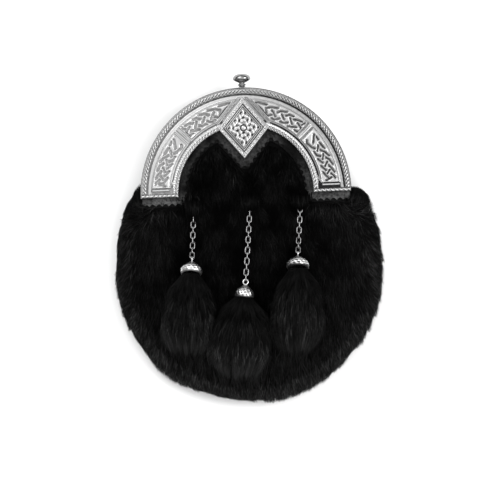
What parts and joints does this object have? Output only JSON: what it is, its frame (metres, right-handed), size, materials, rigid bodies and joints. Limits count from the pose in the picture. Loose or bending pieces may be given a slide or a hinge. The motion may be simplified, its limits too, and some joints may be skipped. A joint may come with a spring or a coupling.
{
  "type": "sporran pouch",
  "caption": "Dress sporran: a hollow leather pouch with a fur front, a half-ring cast metal cantle with interlace panels, a knob, and fur tassels on chains.",
  "frame": {"origin": "centre of the cantle's arc, on the surface that the pouch lies on", "axes": "+Z out of the fur front, +Y towards the knob, +X to the right in the front view"},
  "size_m": [0.195, 0.2363, 0.0529],
  "materials": {
    "cast_silver": "cast relief, antiqued in the recesses and polished on the crests",
    "chain_silver": "bright plated wire and spun caps",
    "nickel_plate": "bright nickel",
    "black_leather": "semi-matt black hide",
    "black_fur": "soft long black hair"
  },
  "bodies": {
    "root": {"back_panel": "black_leather", "cantle": "cast_silver", "chain_anchor_left": "chain_silver", "chain_anchor_middle": "chain_silver", "chain_anchor_right": "chain_silver", "chain_left_01": "chain_silver", "chain_left_02": "chain_silver", "chain_left_03": "chain_silver", "chain_left_04": "chain_silver", "chain_left_05": "chain_silver", "chain_left_06": "chain_silver", "chain_left_07": "chain_silver", "chain_left_08": "chain_silver", "chain_left_09": "chain_silver", "chain_middle_01": "chain_silver", "chain_middle_02": "chain_silver", "chain_middle_03": "chain_silver", "chain_middle_04": "chain_silver", "chain_middle_05": "chain_silver", "chain_middle_06": "chain_silver", "chain_middle_07": "chain_silver", "chain_middle_08": "chain_silver", "chain_middle_09": "chain_silver", "chain_middle_10": "chain_silver", "chain_middle_11": "chain_silver", "chain_middle_12": "chain_silver", "chain_middle_13": "chain_silver", "chain_middle_14": "chain_silver", "chain_right_01": "chain_silver", "chain_right_02": "chain_silver", "chain_right_03": "chain_silver", "chain_right_04": "chain_silver", "chain_right_05": "chain_silver", "chain_right_06": "chain_silver", "chain_right_07": "chain_silver", "chain_right_08": "chain_silver", "chain_right_09": "chain_silver", "front_panel": "black_leather", "fur_cover": "black_fur", "gusset": "black_leather", "knob": "cast_silver", "leather_backing": "black_leather", "press_stud": "nickel_plate", "ring_tab_left": "black_leather", "ring_tab_right": "black_leather", "strap_ring_left": "nickel_plate", "strap_ring_right": "nickel_plate", "tassel_cap_left": "chain_silver", "tassel_cap_middle": "chain_silver", "tassel_cap_right": "chain_silver", "tassel_fur_left": "black_fur", "tassel_fur_middle": "black_fur", "tassel_fur_right": "black_fur"}
  },
  "joints": []
}
